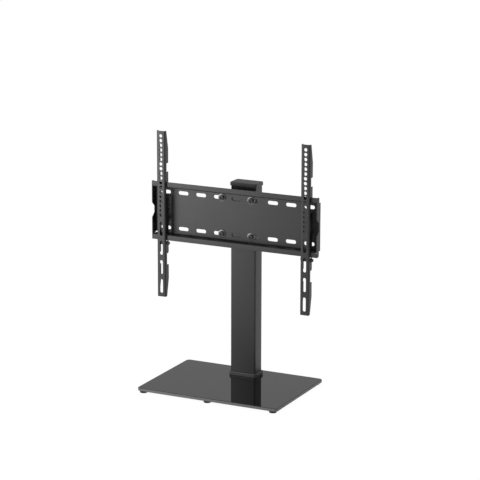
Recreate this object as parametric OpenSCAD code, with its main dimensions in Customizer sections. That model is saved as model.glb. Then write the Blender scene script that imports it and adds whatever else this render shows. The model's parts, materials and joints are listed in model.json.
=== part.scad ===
// Table stand for a flat screen: glass base, steel column, height carriage,
// pressed hanging plate and two hook-on screen arms with safety screws.
// Millimetres. X runs to the right, Y to the back, Z up. The origin is the
// centre of the glass base, on the table that the rubber feet stand on.

/* [Base] */
// Width of the glass
base_w = 390; // [360:5:420]
// Depth of the glass
base_d = 278; // [260:2:300]
// Thickness of the glass
glass_t = 8; // [6:1:10]
// Corner radius of the glass
glass_r = 10; // [6:1:16]
// Diameter of a rubber foot
foot_dia = 19; // [14:1:20]
// Height of a rubber foot under the glass
foot_h = 5; // [5:1:8]

/* [Column] */
// Width of the column tube
column_w = 70; // [60:2:80]
// Depth of the column tube
column_d = 40; // [36:2:50]
// Wall of the column tube
column_t = 2; // [1.5:0.5:3]
// Distance of the column behind the centre of the base
column_back = 90; // [86:2:94]
// Height of the upper end of the tube above the table
column_top = 514; // [500:2:540]
// Overhang of the cap past the tube
cap_over = 2.5; // [1.5:0.5:4]
// Overhang of the foot collar past the tube
collar_over = 4; // [3:0.5:6]
// Height of the foot collar
collar_h = 10; // [9:1:16]

/* [Hanging plate] */
// Width of the plate
plate_w = 460; // [450:10:500]
// Height of the plate over both lips
plate_h = 151; // [145:1:160]
// Height of the middle of the plate above the table
plate_z = 438; // [420:1:440]
// Distance from the front of the lips to the front of the panel
tray_d = 20; // [18:1:24]
// Height of each lip
lip_h = 14.5; // [13:0.5:16]
// Spacing of the slots along a row
slot_pitch = 50; // [46:1:51]
// Spacing of the two slot rows
row_gap = 93; // [90:1:96]
// Length of a plate slot
slot_l = 28; // [24:1:30]
// Width of a plate slot
slot_w = 9.5; // [9:0.5:11]

/* [Screen arms] */
// Distance between the two arms
arm_gap = 400; // [200:50:400]
// Length of an arm
arm_l = 430; // [430:5:450]
// Width of an arm
arm_w = 24; // [22:1:28]
// Depth of an arm from its face to the rear edge of its sides
arm_d = 18; // [17:1:20]
// Diameter of the round holes
screw_hole = 8.5; // [8:0.5:9]
// Spacing of the round holes
hole_pitch = 12; // [11.5:0.5:12]
// Spacing of the slots
arm_slot_pitch = 50; // [48:1:52]
// Length of a slot
arm_slot_l = 36; // [30:1:38]
// Width of a slot
arm_slot_w = 8; // [7:0.5:9]

/* [Hidden] */
$fn = 48;

past = 1;                     // how far a cutter passes the face that it cuts
steel_t = 2;                  // sheet of the plate and the arms
bend_r = 1.5;                 // inside radius of every bend in that sheet
bracket_t = 3;                // sheet of the carriage
bracket_bend = 2;             // inside radius of its bends
fit = 0.3;                    // gap between pieces that slide on each other
bore_gap = 0.2;               // gap round a screw in a plain hole
snug_gap = 0.1;               // gap round a piece that fits closely
thread_gap = 0.05;            // gap round a screw in its thread

glass_z = foot_h;
glass_top = foot_h + glass_t;
arris = 1;                    // ground edge of the glass
foot_x = base_w / 2 - 15;
foot_y = base_d / 2 - 10;
foot_round = 1.5;             // rounding of a foot's sole
foot_hollow_r = 3.5;
foot_hollow_d = 0.8;

under_t = 3;                  // steel plate under the glass
under_w = 160;
under_d = 90;
under_r = 8;
under_y = column_back - 18;
bush_r = 5;
base_screw_x = 24;
base_screw_y = 12;
base_screw_r = 3;
base_head_r = 6;              // countersunk head
base_head_h = 2.8;
base_key_r = 2.3;             // corners of its hexagon socket
base_key_d = 1.6;
base_grip = 4;                // length of its thread in the flange

column_r = 4;                 // outside corners of the tube
gasket_t = 1;
flange_t = 5;
flange_rim = collar_over - 2; // how far the welded flange passes the tube
flange_z = glass_top + gasket_t;
column_z = flange_z + flange_t;
collar_edge = 3;              // rounding of the collar's upper edge
collar_wall = 1.5;
cap_h = 9;                    // skirt and top of the cap together
cap_top = 4.5;
cap_edge = 1.8;               // rounding of the cap's upper edge
cap_plug_h = 16;
cap_plug_wall = 2;

sleeve_h = 100;
sleeve_z = plate_z - 52;
clamp_gap = 60;               // between the two clamp bolts
clamp_z = sleeve_z + sleeve_h / 2;
travel = 100;                 // height adjustment, all of it downwards
bolt_r = 4;
washer_t = 1.6;
washer_r = 10;
clamp_head_r = 6.5;
clamp_head_h = 8;
clamp_key_r = 3.4;
clamp_plate_size = [40, 6, 90];
clamp_slack = 0.2;            // between the clamp plate and the rear wall

lip_y = 13;                   // front face of the lips
panel_y = lip_y + tray_d;     // front face of the recessed panel
panel_back = panel_y + steel_t;
shelf = plate_h / 2 - lip_h;  // inner face of a rail's shelf from the middle of the plate
ear_d = 12;                   // depth of the end plates beside the lips
ear_r = 5;
notch_mouth = 39;             // finger notch in each end plate
notch_floor = 17;
notch_d = 12;
relief_r = 2.5;               // relief hole where two bends of the tray meet

plate_bolt_x = slot_pitch - slot_l / 2 + slot_w / 2;
plate_bolt_l = 16;
plate_head_r = 7;
plate_head_h = 5;
plate_key_r = 2.9;
nut_r = 7.5;                  // corners of a nut behind the plate
nut_t = 6.5;
bracket_back = panel_back + bracket_t;
bracket_edge = plate_bolt_x + 8.25;
bracket_h = 120;
spacer_leg = plate_bolt_x - 10.75; // outer face of the bracket's legs
sleeve_front = column_back - column_d / 2 - fit - bracket_t;

arm_face = lip_y - 7;         // front face of the arms
lip_h_on_arm = 298.5;         // upper lip above the lower end of the arms
arm_z = plate_z + plate_h / 2 - lip_h_on_arm;
arm_x = arm_gap / 2;
arm_tip_d = 8.5;              // depth of the arm at both ends
arm_taper = 46;
arm_waist = 9;                // depth of the sides beside their notches
first_slot = 27.6;            // lowest slot above the lower end of the arm
slots = 4;
holes = 18;
first_hole = arm_l - 12.8;    // uppermost round hole
hook_slit = 3;                // slit that drops over the lip
hook_gap = 0.2;               // play above the lip
hook_end = lip_h_on_arm - lip_h + 3.3;
hook_seat = lip_y - arm_face - fit; // front of the slit, behind the arm's face
hook_mouth = lip_h_on_arm - 38.5;   // lower end of the opening below the hook
low_lip = lip_h_on_arm - plate_h;
low_play = 2.2;               // play under the lower lip
upper_notch = lip_h_on_arm + 25.5;
upper_notch_h = 22.5;
lower_notch = 84.5;
lower_notch_h = 28;
notch_flare = 2.5;            // slope of the lower notch's floor
notch_chamfer = 3;            // chamfer at its upper corner

safety_d = 9.5;               // depth of the safety screw behind the arm's face
safety_h = low_lip - 7.5;     // its height above the lower end of the arm
safety_seat = low_lip - 10;   // lower end of the slot that it sits in
safety_r = 2.5;
safety_slot = 5.4;
safety_slot_h = 12;
safety_head_r = 4.25;
safety_head_h = 5;
safety_key_r = 2.3;
safety_washer_r = 5;
safety_washer_t = 1.2;
safety_sleeve_r = 4.7;
safety_nut_r = 4.6;
safety_nut_t = 2.7;

black_steel = [0.12, 0.12, 0.125];
black_glass = [0.03, 0.03, 0.035, 0.9];
black_plastic = [0.06, 0.06, 0.06];
black_screw = [0.09, 0.09, 0.09];
rubber = [0.02, 0.02, 0.02];
zinc = [0.62, 0.63, 0.65];
nylon = [0.85, 0.85, 0.82];

// Rectangle with round corners, centred on the origin
module round_rect(w, d, r) {
    square([w - 2 * r, d], center = true);
    square([w, d - 2 * r], center = true);
    for (x = [-1, 1], y = [-1, 1]) {
        translate([x * (w / 2 - r), y * (d / 2 - r)]) circle(r = r);
    }
}

// Slab with round corners whose edge follows the child profile.
// The child spans x = 0 to r, outwards, and y = 0 to the slab's height.
module edged_slab(w, d, r, h) {
    translate([-w / 2 + r, -d / 2 + r, 0]) cube([w - 2 * r, d - 2 * r, h]);
    for (k = [0, 1]) {
        rotate(180 * k) {
            translate([w / 2 - r, d / 2 - r, 0]) rotate_extrude(angle = 90) children();
            translate([-w / 2 + r, d / 2 - r, 0]) rotate(90) rotate_extrude(angle = 90) children();
            translate([w / 2 - r, -d / 2 + r, 0]) {
                rotate([90, 0, 0]) mirror([0, 0, 1]) linear_extrude(d - 2 * r) children();
            }
            translate([w / 2 - r, d / 2 - r, 0]) {
                rotate([90, 0, -90]) mirror([1, 0, 0]) linear_extrude(w - 2 * r) children();
            }
        }
    }
}

// Edge profile with a chamfer at the top and the bottom
module chamfer_profile(r, h, c) {
    polygon([[0, 0], [r - c, 0], [r, c], [r, h - c], [r - c, h], [0, h]]);
}

// Edge profile with a round top edge
module round_top_profile(r, h, e) {
    square([r, h - e]);
    square([r - e, h]);
    translate([r - e, h - e]) circle(r = e);
}

// Quarter ring of sheet round the origin, in the quadrant of +x and +y
module elbow(inside, t) {
    intersection() {
        difference() {
            circle(r = inside + t);
            circle(r = inside);
        }
        square(inside + t);
    }
}

// Screw slot along X, cut through along Y
module slot_cut(l, w, depth) {
    cube([l - w, depth, w], center = true);
    for (x = [-1, 1]) {
        translate([x * (l - w) / 2, 0, 0]) rotate([90, 0, 0]) cylinder(d = w, h = depth, center = true);
    }
}

// Cylinder along Y that starts at the origin
module pin_y(r, l, facets = 48) {
    rotate([-90, 0, 0]) cylinder(r = r, h = l, $fn = facets);
}

module at_base_screws() {
    for (x = [-1, 1], y = [-1, 1]) {
        translate([x * base_screw_x, column_back + y * base_screw_y, 0]) children();
    }
}

module at_plate_bolts() {
    for (x = [-1, 1], z = [-1, 1]) {
        translate([x * plate_bolt_x, 0, plate_z + z * row_gap / 2]) children();
    }
}

module at_clamp_bolts() {
    for (z = [-1, 1]) {
        translate([0, 0, clamp_z + z * clamp_gap / 2]) children();
    }
}

module base_glass() {
    color(black_glass) difference() {
        translate([0, 0, glass_z]) {
            edged_slab(base_w, base_d, glass_r, glass_t) chamfer_profile(glass_r, glass_t, arris);
        }
        at_base_screws() translate([0, 0, glass_z - past]) cylinder(r = bush_r, h = glass_t + 2 * past);
    }
}

// Steel plate that spreads the load of the column under the glass
module under_plate() {
    color(black_steel) difference() {
        translate([0, under_y, glass_z - under_t]) {
            linear_extrude(under_t) round_rect(under_w, under_d, under_r);
        }
        at_base_screws() {
            translate([0, 0, glass_z - under_t - past]) {
                cylinder(r = base_screw_r + bore_gap, h = under_t + 2 * past);
            }
            translate([0, 0, glass_z - under_t]) {
                cylinder(r1 = base_head_r + snug_gap, r2 = base_screw_r + snug_gap, h = under_t);
            }
        }
    }
}

// Countersunk screws that hold the column from below
module base_screws() {
    color(zinc) at_base_screws() translate([0, 0, glass_z - under_t]) difference() {
        union() {
            cylinder(r = base_screw_r - thread_gap, h = flange_z + base_grip - glass_z + under_t);
            cylinder(r1 = base_head_r - snug_gap, r2 = base_screw_r - thread_gap, h = base_head_h);
        }
        translate([0, 0, -past]) cylinder(r = base_key_r, h = base_key_d + past, $fn = 6);
    }
}

// Bushes that keep the screws off the glass
module glass_bushes() {
    color(nylon) at_base_screws() translate([0, 0, glass_z]) difference() {
        cylinder(r = bush_r - thread_gap, h = glass_t);
        translate([0, 0, -past]) cylinder(r = base_screw_r + bore_gap, h = glass_t + 2 * past);
    }
}

// One rubber foot, glued on: a pad with a rounded sole and a shallow hollow under it
module foot(x, y) {
    color(rubber) translate([x * foot_x, y * foot_y, 0]) difference() {
        rotate_extrude() {
            translate([0, foot_round]) square([foot_dia / 2, foot_h - foot_round]);
            square([foot_dia / 2 - foot_round, foot_h]);
            translate([foot_dia / 2 - foot_round, foot_round]) circle(r = foot_round);
        }
        translate([0, 0, -past]) cylinder(r = foot_hollow_r, h = foot_hollow_d + past);
    }
}

// Outline of the flange with its four holes
module flange_outline(hole_r) {
    difference() {
        round_rect(column_w + 2 * flange_rim, column_d + 2 * flange_rim, column_r + flange_rim);
        for (x = [-1, 1], y = [-1, 1]) {
            translate([x * base_screw_x, y * base_screw_y]) circle(r = hole_r);
        }
    }
}

module flange_gasket() {
    color(rubber) translate([0, column_back, glass_top]) {
        linear_extrude(gasket_t) flange_outline(base_screw_r + 2 * bore_gap);
    }
}

module column_flange() {
    color(black_steel) translate([0, column_back, flange_z]) {
        linear_extrude(flange_t) flange_outline(base_screw_r);
    }
}

// Trim round the foot of the column, hollow over the welded flange
module foot_collar() {
    w = column_w + 2 * collar_over;
    d = column_d + 2 * collar_over;
    r = column_r + collar_over;
    color(black_plastic) translate([0, column_back, glass_top]) difference() {
        edged_slab(w, d, r, collar_h) round_top_profile(r, collar_h, collar_edge);
        translate([0, 0, -past]) linear_extrude(collar_h + 2 * past) {
            round_rect(column_w + 2 * fit, column_d + 2 * fit, column_r + fit);
        }
        translate([0, 0, -past]) linear_extrude(past + gasket_t + flange_t + fit) {
            round_rect(w - 2 * collar_wall, d - 2 * collar_wall, r - collar_wall);
        }
    }
}

// Welded tube with the long slot for the clamp bolts in its rear wall
module column_tube() {
    slot_len = clamp_gap + travel + 3 * bolt_r;
    slot_mid = clamp_z - travel / 2;
    color(black_steel) difference() {
        translate([0, column_back, column_z]) linear_extrude(column_top - column_z) difference() {
            round_rect(column_w, column_d, column_r);
            round_rect(column_w - 2 * column_t, column_d - 2 * column_t, column_r - column_t);
        }
        translate([0, column_back + column_d / 2, slot_mid]) {
            rotate([0, 90, 0]) slot_cut(slot_len, 2 * (bolt_r + fit), 4 * column_t);
        }
    }
}

// Cap with a skirt round the tube and a plug inside it
module column_cap() {
    w = column_w + 2 * cap_over;
    d = column_d + 2 * cap_over;
    r = column_r + cap_over;
    plug_w = column_w - 2 * column_t - 2 * snug_gap;
    plug_d = column_d - 2 * column_t - 2 * snug_gap;
    plug_r = column_r - column_t - snug_gap;
    color(black_plastic) {
        translate([0, column_back, column_top + cap_top - cap_h]) difference() {
            edged_slab(w, d, r, cap_h) round_top_profile(r, cap_h, cap_edge);
            translate([0, 0, -past]) linear_extrude(cap_h - cap_top + past) {
                round_rect(column_w + 2 * snug_gap, column_d + 2 * snug_gap, column_r + snug_gap);
            }
        }
        translate([0, column_back, column_top - cap_plug_h]) {
            linear_extrude(cap_plug_h + cap_top / 2) difference() {
                round_rect(plug_w, plug_d, plug_r);
                round_rect(plug_w - 2 * cap_plug_wall, plug_d - 2 * cap_plug_wall, plug_r / 2);
            }
        }
    }
}

// Sleeve that slides on the column, with the clamp holes in its rear wall
module carriage_sleeve() {
    w = column_w + 2 * fit;
    d = column_d + 2 * fit;
    color(black_steel) difference() {
        translate([0, column_back, sleeve_z]) linear_extrude(sleeve_h) difference() {
            round_rect(w + 2 * bracket_t, d + 2 * bracket_t, column_r + fit + bracket_t);
            round_rect(w, d, column_r + fit);
        }
        at_clamp_bolts() translate([0, column_back, 0]) pin_y(bolt_r + bore_gap, column_d);
    }
}

// Half of the bracket's channel: crown on the sleeve, bend, and leg to the bracket plate
module bracket_profile() {
    turn = bracket_t + bracket_bend;
    translate([0, sleeve_front - bracket_t]) square([spacer_leg - turn, bracket_t]);
    translate([spacer_leg - turn, sleeve_front - turn]) elbow(bracket_bend, bracket_t);
    translate([spacer_leg - bracket_t, bracket_back]) {
        square([bracket_t, sleeve_front - bracket_back - turn]);
    }
}

// Channel that holds the plate at its distance in front of the sleeve
module spacer_bracket() {
    color(black_steel) translate([0, 0, plate_z - bracket_h / 2]) linear_extrude(bracket_h) {
        bracket_profile();
        mirror([1, 0]) bracket_profile();
    }
}

// Flat plate across the legs of the bracket, which the hanging plate is bolted to
module bracket_plate() {
    color(black_steel) difference() {
        translate([-bracket_edge, panel_back, plate_z - bracket_h / 2]) {
            cube([2 * bracket_edge, bracket_t, bracket_h]);
        }
        at_plate_bolts() {
            translate([0, panel_back - past, 0]) pin_y(bolt_r + snug_gap, bracket_t + 2 * past);
        }
    }
}

// Threaded plate inside the tube that the clamp bolts pull against its rear wall
module clamp_plate() {
    rear = column_back + column_d / 2 - column_t - clamp_slack;
    size = clamp_plate_size;
    color(zinc) difference() {
        translate([-size.x / 2, rear - size.y, clamp_z - size.z / 2]) cube(size);
        at_clamp_bolts() translate([0, rear - size.y - past, 0]) pin_y(bolt_r, size.y + 2 * past);
    }
}

// Socket screw along Y with its head towards -Y, from the seat of the head
module socket_screw(head_r, head_h, l, key_r) {
    difference() {
        union() {
            translate([0, -head_h, 0]) pin_y(head_r, head_h);
            pin_y(bolt_r - thread_gap, l);
        }
        translate([0, -head_h - past, 0]) pin_y(key_r, head_h / 2 + past, 6);
    }
}

// Flat washer along Y, starting at the origin
module washer(r) {
    difference() {
        pin_y(r, washer_t);
        translate([0, -past, 0]) pin_y(bolt_r + bore_gap, washer_t + 2 * past);
    }
}

module clamp_washers() {
    rear = column_back + column_d / 2 + fit + bracket_t;
    color(zinc) at_clamp_bolts() translate([0, rear, 0]) washer(washer_r - 1);
}

module clamp_bolts() {
    seat = column_back + column_d / 2 + fit + bracket_t + washer_t;
    tip = column_back + column_d / 2 - column_t - clamp_slack - clamp_plate_size.y;
    color(zinc) at_clamp_bolts() translate([0, seat, 0]) rotate(180) {
        socket_screw(clamp_head_r, clamp_head_h, seat - tip, clamp_key_r);
    }
}

// Rail profile, upper half of the plate: end of the panel, shelf and lip
module rail_profile() {
    turn = steel_t + bend_r;
    translate([panel_y, 0]) square([steel_t, shelf - bend_r]);
    translate([panel_y - bend_r, shelf - bend_r]) elbow(bend_r, steel_t);
    translate([lip_y + turn, shelf]) square([tray_d - bend_r - turn, steel_t]);
    translate([lip_y + turn, shelf + turn]) rotate(180) elbow(bend_r, steel_t);
    translate([lip_y, shelf + turn]) square([steel_t, lip_h - turn]);
}

// End plate, upper half: side of the tray, the ear beside the lip and the finger notch
module end_profile() {
    difference() {
        union() {
            translate([lip_y, 0]) square([tray_d - bend_r, shelf]);
            translate([lip_y, 0]) square([ear_d - ear_r, plate_h / 2]);
            translate([lip_y, 0]) square([ear_d, plate_h / 2 - ear_r]);
            translate([lip_y + ear_d - ear_r, plate_h / 2 - ear_r]) circle(r = ear_r);
        }
        translate([lip_y, 0]) polygon([
            [-past, -past], [notch_d, -past], [notch_d, notch_floor / 2],
            [0, notch_mouth / 2], [-past, notch_mouth / 2]
        ]);
    }
}

// Pressed plate: recessed panel, two rails with outward lips and two end plates
module hanging_plate() {
    inner_w = plate_w - 2 * steel_t - 2 * bend_r;
    turn = steel_t + bend_r;
    color(black_steel) translate([0, 0, plate_z]) difference() {
        for (z = [0, 1]) {
            mirror([0, 0, z]) {
                rotate([90, 0, 90]) {
                    translate([0, 0, -inner_w / 2]) linear_extrude(inner_w) rail_profile();
                }
                for (x = [0, 1]) {
                    mirror([x, 0, 0]) {
                        rotate([90, 0, 90]) translate([0, 0, plate_w / 2 - steel_t]) {
                            linear_extrude(steel_t) end_profile();
                        }
                        translate([inner_w / 2, panel_y - bend_r, 0]) {
                            linear_extrude(shelf) elbow(bend_r, steel_t);
                        }
                        translate([inner_w / 2 - bend_r, lip_y, shelf + turn]) {
                            cube([2 * bend_r, steel_t, lip_h - turn]);
                        }
                    }
                }
            }
        }
        for (n = [-4 : 4], z = [-1, 1]) {
            translate([n * slot_pitch, panel_y + steel_t / 2, z * row_gap / 2]) {
                slot_cut(slot_l, slot_w, 4 * steel_t);
            }
        }
        for (x = [-1, 1], z = [-1, 1]) {
            translate([x * inner_w / 2, panel_y - 2 * bend_r, z * shelf]) pin_y(relief_r, 5 * steel_t);
        }
    }
}

module plate_washers() {
    color(black_screw) at_plate_bolts() translate([0, panel_y - washer_t, 0]) washer(washer_r);
}

module plate_bolts() {
    color(black_screw) at_plate_bolts() translate([0, panel_y - washer_t, 0]) {
        socket_screw(plate_head_r, plate_head_h, plate_bolt_l, plate_key_r);
    }
}

module plate_nuts() {
    color(black_screw) at_plate_bolts() translate([0, bracket_back, 0]) difference() {
        rotate([0, 30, 0]) pin_y(nut_r, nut_t, 6);
        translate([0, -past, 0]) pin_y(bolt_r, nut_t + 2 * past);
    }
}

// Side outline of an arm. x is the depth behind its face, y the height above its lower end
module arm_side() {
    notch_top = lower_notch + lower_notch_h;
    difference() {
        polygon([
            [0, 0], [arm_tip_d, 0], [arm_d, arm_taper], [arm_d, arm_l - arm_taper],
            [arm_tip_d, arm_l], [0, arm_l]
        ]);
        translate([arm_waist, upper_notch]) square([arm_d, upper_notch_h]);
        polygon([
            [arm_waist, lower_notch], [arm_d + past, lower_notch - notch_flare],
            [arm_d + past, notch_top + notch_chamfer + past],
            [arm_d - notch_chamfer, notch_top], [arm_waist, notch_top]
        ]);
        translate([hook_seat, hook_mouth]) square([arm_d, hook_end - hook_mouth]);
        translate([hook_seat, hook_end - past]) {
            square([hook_slit, lip_h_on_arm + hook_gap - hook_end + past]);
        }
        translate([hook_seat, low_lip - low_play]) square([arm_d, lip_h + low_play + past]);
        translate([safety_d - safety_slot / 2, safety_seat]) square([safety_slot, safety_slot_h]);
        translate([safety_d, safety_seat]) circle(d = safety_slot);
    }
}

// Channel with the side outline, the round holes and the slots
module arm(side) {
    turn = steel_t + bend_r;
    inner = arm_w - 2 * turn;
    translate([side * arm_x, arm_face, arm_z]) difference() {
        intersection() {
            linear_extrude(arm_l) {
                translate([-inner / 2, 0]) square([inner, steel_t]);
                for (s = [0, 1]) {
                    mirror([s, 0]) {
                        translate([inner / 2, turn]) mirror([0, 1]) elbow(bend_r, steel_t);
                        translate([arm_w / 2 - steel_t, turn]) square([steel_t, arm_d - turn]);
                    }
                }
            }
            rotate([90, 0, 90]) translate([0, 0, -arm_w / 2 - past]) {
                linear_extrude(arm_w + 2 * past) arm_side();
            }
        }
        for (n = [0 : holes - 1]) {
            translate([0, -past, first_hole - n * hole_pitch]) pin_y(screw_hole / 2, steel_t + 2 * past);
        }
        for (n = [0 : slots - 1]) {
            translate([0, steel_t / 2, first_slot + n * arm_slot_pitch]) {
                rotate([0, 90, 0]) slot_cut(arm_slot_l, arm_slot_w, 2 * steel_t);
            }
        }
    }
}

// Places its child on the axis of an arm's safety screw, with +Z towards the head
module at_safety_screw(side) {
    translate([side * arm_x, arm_face + safety_d, arm_z + safety_h]) rotate([0, 90, 0]) children();
}

// Socket screw under the lower lip, through both sides of the arm
module safety_screw(side) {
    head_z = arm_w / 2 + safety_washer_t;
    tip_z = arm_w / 2 + safety_nut_t;
    at_safety_screw(side) difference() {
        union() {
            translate([0, 0, head_z]) cylinder(r = safety_head_r, h = safety_head_h);
            translate([0, 0, -tip_z]) cylinder(r = safety_r - thread_gap, h = tip_z + head_z);
        }
        translate([0, 0, head_z + safety_head_h / 2]) {
            cylinder(r = safety_key_r, h = safety_head_h, $fn = 6);
        }
    }
}

module safety_washer(side) {
    at_safety_screw(side) translate([0, 0, arm_w / 2]) difference() {
        cylinder(r = safety_washer_r, h = safety_washer_t);
        translate([0, 0, -past]) cylinder(r = safety_r + bore_gap, h = safety_washer_t + 2 * past);
    }
}

// Sleeve that keeps the sides of the arm apart when the screw is tightened
module safety_sleeve(side) {
    l = arm_w - 2 * steel_t;
    at_safety_screw(side) difference() {
        cylinder(r = safety_sleeve_r, h = l, center = true);
        cylinder(r = safety_r + bore_gap, h = l + 2 * past, center = true);
    }
}

module safety_nut(side) {
    at_safety_screw(side) translate([0, 0, -arm_w / 2 - safety_nut_t]) difference() {
        cylinder(r = safety_nut_r, h = safety_nut_t, $fn = 6);
        translate([0, 0, -past]) cylinder(r = safety_r, h = safety_nut_t + 2 * past);
    }
}

module foot_front_left() { foot(-1, -1); }
module foot_front_middle() { foot(0, -1); }
module foot_front_right() { foot(1, -1); }
module foot_rear_left() { foot(-1, 1); }
module foot_rear_middle() { foot(0, 1); }
module foot_rear_right() { foot(1, 1); }
module left_arm() { color(black_steel) arm(-1); }
module right_arm() { color(black_steel) arm(1); }
module left_safety_screw() { color(black_screw) safety_screw(-1); }
module right_safety_screw() { color(black_screw) safety_screw(1); }
module left_safety_washer() { color(black_screw) safety_washer(-1); }
module right_safety_washer() { color(black_screw) safety_washer(1); }
module left_safety_sleeve() { color(black_plastic) safety_sleeve(-1); }
module right_safety_sleeve() { color(black_plastic) safety_sleeve(1); }
module left_safety_nut() { color(zinc) safety_nut(-1); }
module right_safety_nut() { color(zinc) safety_nut(1); }

base_glass();
under_plate();
base_screws();
glass_bushes();
foot_front_left();
foot_front_middle();
foot_front_right();
foot_rear_left();
foot_rear_middle();
foot_rear_right();
flange_gasket();
column_flange();
foot_collar();
column_tube();
column_cap();
carriage_sleeve();
spacer_bracket();
bracket_plate();
clamp_plate();
clamp_bolts();
clamp_washers();
hanging_plate();
plate_bolts();
plate_washers();
plate_nuts();
left_arm();
left_safety_screw();
left_safety_washer();
left_safety_sleeve();
left_safety_nut();
right_arm();
right_safety_screw();
right_safety_washer();
right_safety_sleeve();
right_safety_nut();
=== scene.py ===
"""Looks of a table-top screen stand: glass base, steel column, hanging plate and hook-on arms.

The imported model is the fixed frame. Sheet, glass and moulded parts get softened edges, and the
fasteners, the feet and the welds are modelled. Every part gets its finish, and a plain studio
stands round it.
"""

import json
import logging
import math
from dataclasses import dataclass
from enum import Enum
from typing import Callable

import bpy
from mathutils import Matrix, Vector

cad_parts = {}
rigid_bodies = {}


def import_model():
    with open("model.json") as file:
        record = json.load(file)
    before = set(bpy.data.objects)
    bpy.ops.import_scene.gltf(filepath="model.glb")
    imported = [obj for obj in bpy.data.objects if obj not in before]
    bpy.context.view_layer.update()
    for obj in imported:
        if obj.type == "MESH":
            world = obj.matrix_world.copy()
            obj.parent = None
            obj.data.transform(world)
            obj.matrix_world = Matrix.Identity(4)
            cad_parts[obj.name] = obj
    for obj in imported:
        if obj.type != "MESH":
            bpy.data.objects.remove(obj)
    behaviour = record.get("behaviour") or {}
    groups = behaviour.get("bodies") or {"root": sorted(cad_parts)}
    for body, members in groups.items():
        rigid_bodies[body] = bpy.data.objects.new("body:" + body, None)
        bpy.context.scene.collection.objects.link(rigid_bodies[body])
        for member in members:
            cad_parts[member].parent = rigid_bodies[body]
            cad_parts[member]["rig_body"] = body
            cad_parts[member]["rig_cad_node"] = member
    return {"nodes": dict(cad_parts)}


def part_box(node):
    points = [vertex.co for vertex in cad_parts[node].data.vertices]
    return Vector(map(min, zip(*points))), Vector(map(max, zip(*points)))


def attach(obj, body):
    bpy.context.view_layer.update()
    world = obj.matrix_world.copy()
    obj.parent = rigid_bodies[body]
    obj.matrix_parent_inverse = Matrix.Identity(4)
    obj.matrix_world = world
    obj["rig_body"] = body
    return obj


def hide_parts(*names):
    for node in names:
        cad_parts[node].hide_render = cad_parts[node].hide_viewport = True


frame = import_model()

logging.basicConfig(level=logging.INFO, format="%(message)s")
LOG = logging.getLogger("screen_stand")

MM = 0.001

# Heights and radii that differ by less than these count as equal.
SAME_LEVEL = 0.01 * MM
SAME_RADIUS = 0.05 * MM
# A face counts as level if its normal has more than this share along Z.
FLAT = 0.9
# Two rows of round pieces closer than this share of their radius are one row.
ONE_ROW = 0.2
# How far a lightened edge reaches, in metres, and how fast it lightens; the lightening is rubbed wear on
# coats and a painted highlight on the rims of screws and washers.
EDGE_REACH = 0.0009
EDGE_GAIN = 6.0


class Side(Enum):
    """The two screen arms, by the sign of their X."""

    LEFT = -1
    RIGHT = 1

    @property
    def label(self) -> str:
        """Prefix of this side's node names."""
        return self.name.lower()


class Head(Enum):
    """Head of a screw."""

    CAP = "cap"
    COUNTERSUNK = "countersunk"


def look_matrix(back: Vector, roll: float = 0.0) -> Matrix:
    """Rotation of a camera or lamp that looks against a direction.

    Args:
        back: Direction from the target to the camera.
        roll: Turn about the line of sight, in radians.

    Returns:
        A 3x3 rotation with the local Z axis along back.
    """
    level = Vector((0.0, 0.0, 1.0)).cross(back).normalized()
    upright = back.cross(level)
    right = math.cos(roll) * level + math.sin(roll) * upright
    up = -math.sin(roll) * level + math.cos(roll) * upright
    return Matrix((right, up, back)).transposed()


class NodeTree:
    """Short ways to add and link shader nodes."""

    def __init__(self, tree: bpy.types.NodeTree) -> None:
        """Starts from an empty tree."""
        self.tree = tree
        tree.nodes.clear()

    def add(self, kind: str, **values: object) -> bpy.types.Node:
        """Adds a node.

        Args:
            kind: Blender's type name of the node.
            **values: Properties of the node, by name.

        Returns:
            The new node.
        """
        node = self.tree.nodes.new(kind)
        for name, value in values.items():
            setattr(node, name, value)
        return node

    def link(self, source: bpy.types.NodeSocket, target: bpy.types.NodeSocket) -> None:
        """Joins an output to an input."""
        self.tree.links.new(source, target)

    def maths(self, operation: str, *inputs: object) -> bpy.types.NodeSocket:
        """Adds a Math node and fills its inputs with numbers or sockets.

        Args:
            operation: Name of the operation.
            *inputs: Numbers or output sockets, in order.

        Returns:
            The node's output.
        """
        node = self.add("ShaderNodeMath", operation=operation)
        for socket, value in zip(node.inputs, inputs):
            if isinstance(value, bpy.types.NodeSocket):
                self.link(value, socket)
            else:
                socket.default_value = value
        return node.outputs[0]

    def mix_colour(
        self, factor: bpy.types.NodeSocket, first: object, second: object
    ) -> bpy.types.NodeSocket:
        """Mixes two colours, each a socket or an RGB tuple.

        Args:
            factor: Socket with the share of the second colour.
            first: Colour at factor 0.
            second: Colour at factor 1.

        Returns:
            The mixed colour's socket.
        """
        node = self.add("ShaderNodeMix", data_type="RGBA")
        self.link(factor, node.inputs["Factor"])
        for socket, value in ((node.inputs[6], first), (node.inputs[7], second)):
            if isinstance(value, bpy.types.NodeSocket):
                self.link(value, socket)
            else:
                socket.default_value = (*value, 1.0)
        return node.outputs[2]


def new_group(
    name: str, inputs: dict[str, tuple[str, float]], outputs: dict[str, str]
) -> bpy.types.NodeTree:
    """Makes an empty shader node group with named sockets.

    Args:
        name: Name of the group.
        inputs: Socket type and default value by input name.
        outputs: Socket type by output name.

    Returns:
        The group's tree.
    """
    group = bpy.data.node_groups.new(name, "ShaderNodeTree")
    for label, (kind, default) in inputs.items():
        socket = group.interface.new_socket(label, in_out="INPUT", socket_type=kind)
        if kind == "NodeSocketFloat":
            socket.default_value = default
    for label, kind in outputs.items():
        group.interface.new_socket(label, in_out="OUTPUT", socket_type=kind)
    return group


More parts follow.
